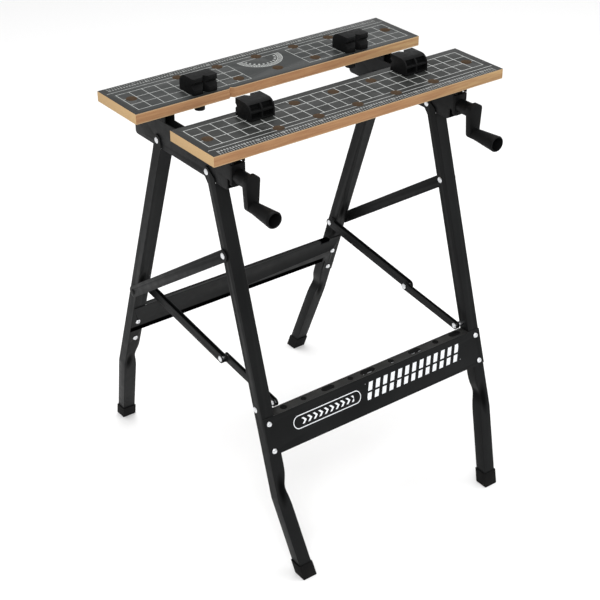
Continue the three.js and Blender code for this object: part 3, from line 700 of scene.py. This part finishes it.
def pinch_leg(made, centre_x, outward, height):
    """Presses in the inner side of a channel leg round a height, as its bend does."""
    bm = bmesh.new()
    bm.from_mesh(made.data)
    cuts = [((0, 0, height + level), (0, 0, 1)) for level in PINCH_LEVELS]
    cuts += [((centre_x + column, 0, 0), (1, 0, 0)) for column in PINCH_COLUMNS]
    near = 2.6 * PINCH_REACH
    for place, normal in cuts:
        part = [face for face in bm.faces if abs(face.calc_center_median().z - height) < near or normal[2]]
        lines = {line for face in part for line in face.edges}
        corners = {vert for face in part for vert in face.verts}
        bmesh.ops.bisect_plane(bm, geom=[*corners, *lines, *part], plane_co=place, plane_no=normal, dist=1e-6)
    for vert in bm.verts:
        amount = math.exp(-(((vert.co.z - height) / PINCH_REACH) ** 2))
        inner = min(max(0.5 - outward * (vert.co.x - centre_x) / LEG_WIDTH, 0.0), 1.0)
        if amount > 0.01:
            vert.co.x += outward * PINCH * amount * inner
    bm.to_mesh(made.data)
    bm.free()
    shade(made)


STATION_STEP = 0.02 * MM
TURNED_SEGMENTS = 32


def turned_copy(node, direction):
    """A finely turned copy of a CAD node that is round about a direction."""
    points = [vert.co for vert in nodes[node].data.vertices]
    centre = sum(points, Vector()) / len(points)
    rings = {}
    for point in points:
        station = (point - centre).dot(direction)
        radius = (point - centre - station * direction).length
        rings.setdefault(round(station / STATION_STEP), set()).add(round(radius / MM, 1) * MM)
    profile = [(0, min(rings) * STATION_STEP)]
    for key in sorted(rings):
        for radius in sorted(rings[key], key=lambda r: abs(r - profile[-1][0])):
            if (radius, key * STATION_STEP) != profile[-1]:
                profile.append((radius, key * STATION_STEP))
    if profile[-1][0] > 0:
        profile.append((0, profile[-1][1]))
    made = lathe(f"{node}_turned", profile, "Z", (0, 0), TURNED_SEGMENTS)
    turn = direction.to_track_quat("Z", "Y").to_matrix().to_4x4()
    made.data.transform(Matrix.Translation(centre) @ turn)
    round_edges(made, 0.3 * MM, 3, 14)
    dress(made, node)


def arc(centre, radius, start, end, count):
    """Points on an arc, in degrees from start to end."""
    steps = [math.radians(start + (end - start) * i / count) for i in range(count + 1)]
    return [(centre[0] + radius * math.cos(t), centre[1] + radius * math.sin(t)) for t in steps]


def rod(name, axis, centre, radius, low, high, segments=48):
    """A plain round bar along an axis."""
    return lathe(name, [(0, low), (radius, low), (radius, high), (0, high)], axis, centre, segments)


# ---------------------------------------------------------------- jaw boards
NOTCH_X = -114 * MM
PEG_HOLE_R = 9.75 * MM
PEG_COLUMNS = {"front": (-159, -79, 2, 84, 167), "rear": (-161, -80, 3, 85, 165)}
PEG_ROW = 33 * MM
END_PEG_X = 273 * MM


def jaw_board(side, jaw_sign):
    """A drilled board, with a small notch in the rear one's jaw edge."""
    node = f"jaw_board_{side}"
    low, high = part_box(node)
    middle = (low + high) / 2
    outline = [(high.x, low.y), (high.x, high.y), (low.x, high.y), (low.x, low.y)]
    if side == "rear":
        notch = middle.x + NOTCH_X
        outline += [(notch - NOTCH_HALF, low.y), (notch, low.y + NOTCH_HALF), (notch + NOTCH_HALF, low.y)]
    board = prism(f"{node}_top", outline, "Z", low.z, high.z)
    spots = [(middle.x + x * MM, middle.y + row) for x in PEG_COLUMNS[side] for row in (-PEG_ROW, PEG_ROW)]
    spots += [(middle.x - END_PEG_X, middle.y), (middle.x + END_PEG_X, middle.y)]
    drills = [rod("drill", "Z", spot, PEG_HOLE_R, low.z - MM, high.z + MM) for spot in spots]
    combine(board, "DIFFERENCE", *drills)
    round_edges(weld(board), 0.5 * MM, 2, 40)
    dress(board, node, board_material(side, node, jaw_sign).material)


jaw_board("front", 1)
jaw_board("rear", -1)


# ---------------------------------------------------------------- screws and cranks
SCREW_R = 6 * MM
SHANK_R = 4.7 * MM
SHANK_LENGTH = 26.5 * MM
PITCH = 4 * MM
THREAD_DEPTH = 1.1 * MM
AROUND = 24
STEPS_A_TURN = 8


def clamp_screw(word):
    """A helical thread behind a plain shank."""
    node = f"clamp_screw_{word}"
    low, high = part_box(node)
    middle = (low + high) / 2
    start = low.y + SHANK_LENGTH
    rings = [(low.y, SHANK_R - 0.5 * MM), (low.y + 0.5 * MM, SHANK_R), (start - 0.01 * MM, SHANK_R)]
    count = int((high.y - start - 2 * MM) / PITCH * STEPS_A_TURN)
    bm = bmesh.new()
    outlines = []
    for station, radius in rings:
        outlines.append([ring_point(middle, station, radius, i) for i in range(AROUND)])
    for step in range(count + 1):
        station = start + step * PITCH / STEPS_A_TURN
        fade = min(1.0, step / STEPS_A_TURN, (count - step) / STEPS_A_TURN)
        outline = []
        for i in range(AROUND):
            phase = (step / STEPS_A_TURN - i / AROUND) % 1.0
            groove = max(0.0, 1.0 - abs(phase - 0.5) * 4.0)
            outline.append(ring_point(middle, station, SCREW_R - THREAD_DEPTH * groove * fade, i))
        outlines.append(outline)
    outlines.append([ring_point(middle, high.y, SCREW_R - 1.5 * MM, i) for i in range(AROUND)])
    bridge(bm, outlines)
    made = new_object(f"{node}_thread", bm)
    shade(made, 40)
    dress(made, node)


def ring_point(middle, station, radius, i):
    """One of the points round a screw."""
    turn = math.tau * i / AROUND
    return (middle.x + radius * math.cos(turn), station, middle.z + radius * math.sin(turn))


ARM_HALF = 13.5 * MM
ARM_CORNER = 8 * MM
ARM_FOOT_R = 10.5 * MM
CRANK_THROW = 39 * MM
HUB_R = 12.3 * MM
GRIP_R = 10 * MM
GRIP_END_R = 14.5 * MM
ARM_BACK = 68 * MM  # from the open end of the grip
ARM_FRONT = 56 * MM
GRIP_BORE = 42 * MM
GRIP_WALL = 2.5 * MM
BORE_R = 5 * MM


def crank_handle(word):
    """A boxy arm with a round hub behind it and a flared, hollow grip in front."""
    node = f"crank_handle_{word}"
    low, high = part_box(node)
    x = (low.x + high.x) / 2
    z = high.z - ARM_HALF
    corner = ARM_HALF - ARM_CORNER
    outline = arc((x + corner, z + corner), ARM_CORNER, 0, 90, 8)
    outline += arc((x - corner, z + corner), ARM_CORNER, 90, 180, 8)
    outline += arc((x, z - CRANK_THROW), ARM_FOOT_R, 180, 360, 24)
    body = prism(node + "_arm", outline, "Y", low.y + ARM_FRONT, low.y + ARM_BACK)
    hub = rod("hub", "Y", (x, z), HUB_R, low.y + ARM_BACK - MM, high.y, 64)
    grip_profile = [
        (0, low.y + GRIP_BORE),
        (GRIP_R - GRIP_WALL - 1.5 * MM, low.y + GRIP_BORE),
        (GRIP_R - GRIP_WALL, low.y + GRIP_BORE - 1.5 * MM),
        (GRIP_END_R - GRIP_WALL - 1.2 * MM, low.y + 7 * MM),
        (GRIP_END_R - GRIP_WALL, low.y),
        (GRIP_END_R - 1.0 * MM, low.y),
        (GRIP_END_R, low.y + 2 * MM),
        (GRIP_END_R - 0.4 * MM, low.y + 6 * MM),
        (GRIP_R, low.y + ARM_FRONT + MM),
        (0, low.y + ARM_FRONT + MM),
    ]
    grip = lathe("grip", grip_profile, "Y", (x, z - CRANK_THROW), 64)
    combine(body, "UNION", hub)
    combine(body, "UNION", grip)
    bore = rod("bore", "Y", (x, z), BORE_R, low.y + ARM_BACK, high.y + MM, 40)
    combine(body, "DIFFERENCE", bore)
    dress(round_edges(weld(body), 0.9 * MM, 3, 40), node)


# ---------------------------------------------------------------- the other pieces, over their CAD shapes
FRONT_LEAN = math.atan(-0.308)  # the legs' slopes above their bends
REAR_LEAN = math.atan(0.342)
ALONG_X = Vector((1, 0, 0))
SHIFT_X = -5.5 * MM  # the bench's middle plane, seen from the footprint's middle
BOLT_AXIS = {
    "rack_bolt": Vector((0, math.cos(FRONT_LEAN), math.sin(FRONT_LEAN))),
    "panel_bolt": Vector((0, math.cos(REAR_LEAN), math.sin(REAR_LEAN))),
}
LEG_X = 234.5 * MM
FRONT_BEND_Z = 170 * MM
REAR_BEND_Z = 184 * MM
LEG_BEND_R = 2.4 * MM
# Dents bumped in and darkened with painted shade, in millimetres: x from the leg's middle, height, half
# width, half height
FRONT_DENT_SHADES = [(-1.5, 166, 10, 34)]
REAR_DENT_SHADES = [(-4, 170, 9, 24), (-4, 384, 8, 22)]
DENT_SHADES_ON_RIGHT = [(-9, 332, 10, 20)]


def leg(name, leg_x, outward, bend_z, dent_shades):
    """A folded channel leg, pinched at its bend, with each dent bumped in and darkened with painted shade."""
    scaled = [(leg_x + x * MM, z * MM, half_x * MM, half_z * MM) for x, z, half_x, half_z in dent_shades]
    coat = leg_material(name.replace("leg", "leg_coat"), scaled).material
    pinch_leg(folded_sheet(name, LEG_BEND_R, coat), leg_x, outward, bend_z)


for word, outward in SIDES.items():
    clamp_screw(word)
    crank_handle(word)
    folded_sheet(f"rail_{word}", 2.0 * MM)
    skin(f"jaw_carriage_{word}", 0.6 * MM)
    skin(f"board_bracket_{word}", 0.8 * MM)
    skin(f"screw_bearing_{word}", 1.0 * MM, 3)
    leg_x = outward * LEG_X + SHIFT_X
    leg(f"front_leg_{word}", leg_x, outward, FRONT_BEND_Z, FRONT_DENT_SHADES)
    leg(f"rear_leg_{word}", leg_x, outward, REAR_BEND_Z, REAR_DENT_SHADES + (DENT_SHADES_ON_RIGHT if outward > 0 else []))
    skin(f"foot_cap_front_{word}", 1.4 * MM, 3)
    skin(f"foot_cap_rear_{word}", 1.4 * MM, 3)
    skin(f"link_bar_{word}", 0.3 * MM)
    folded_sheet(f"stay_upper_{word}", 1.4 * MM)
    folded_sheet(f"stay_lower_{word}", 1.3 * MM)
for node in [n for n in nodes if n.startswith("bench_dog")]:
    skin(node, 1.0 * MM, 3)
folded_sheet("rear_cross_panel", 1.2 * MM, panel_material().material)
folded_sheet("tool_rack", 1.8 * MM, rack_material().material)
ROUND_KINDS = ("leg_pivot", "link_rivet", "stay_rivet", "stay_pin", "rack_bolt", "panel_bolt")
for node in [n for n in nodes if n.startswith(ROUND_KINDS)]:
    axis = next((way for kind, way in BOLT_AXIS.items() if node.startswith(kind)), ALONG_X)
    turned_copy(node, axis)


# ---------------------------------------------------------------- floor, light and camera
def floor():
    """A plain pale floor just under the feet."""
    bm = bmesh.new()
    bmesh.ops.create_grid(bm, x_segments=1, y_segments=1, size=8)
    made = new_object("floor", bm)
    made.location.z = cad_low.z - 0.3 * MM
    s = Shader("pale_floor")
    s.paint((0.86, 0.86, 0.86), 0.85)
    made.data.materials.append(s.material)


def area_light(name, location, target, size, power):
    data = bpy.data.lights.new(name, "AREA")
    data.shape = "DISK"
    data.size = size
    data.energy = power
    made = bpy.data.objects.new(name, data)
    made.location = location
    made.rotation_euler = (Vector(target) - Vector(location)).to_track_quat("-Z", "Y").to_euler()
    bpy.context.scene.collection.objects.link(made)


def studio():
    world = bpy.data.worlds.new("studio")
    world.use_nodes = True
    background = world.node_tree.nodes["Background"]
    background.inputs["Color"].default_value = (1.0, 1.0, 1.0, 1.0)
    background.inputs["Strength"].default_value = 0.85
    bpy.context.scene.world = world
    area_light("key", (-1.8, -2.2, 2.6), (0, 0, 0.5), 1.8, 60)
    area_light("fill", (2.6, -1.2, 1.6), (0, 0, 0.5), 2.2, 25)
    area_light("top", (0.2, 0.6, 3.0), (0, 0, 0.6), 2.4, 40)


# The photograph's camera, solved from the board corners, the feet and the leg lines
AZIMUTH = math.radians(-36.827)
ELEVATION = math.radians(30.737)
CAMERA_AT = (-1.3708, -1.8228, 1.6909)
LENS = 85.24


def camera():
    data = bpy.data.cameras.new("camera")
    data.lens = LENS
    data.sensor_width = 36
    data.clip_start = 0.05
    data.clip_end = 60
    made = bpy.data.objects.new("camera", data)
    made.location = CAMERA_AT
    made.rotation_euler = (math.pi / 2 - ELEVATION, 0, AZIMUTH)
    bpy.context.scene.collection.objects.link(made)
    bpy.context.scene.camera = made


floor()
studio()
camera()
bpy.context.scene.view_settings.view_transform = "Standard"
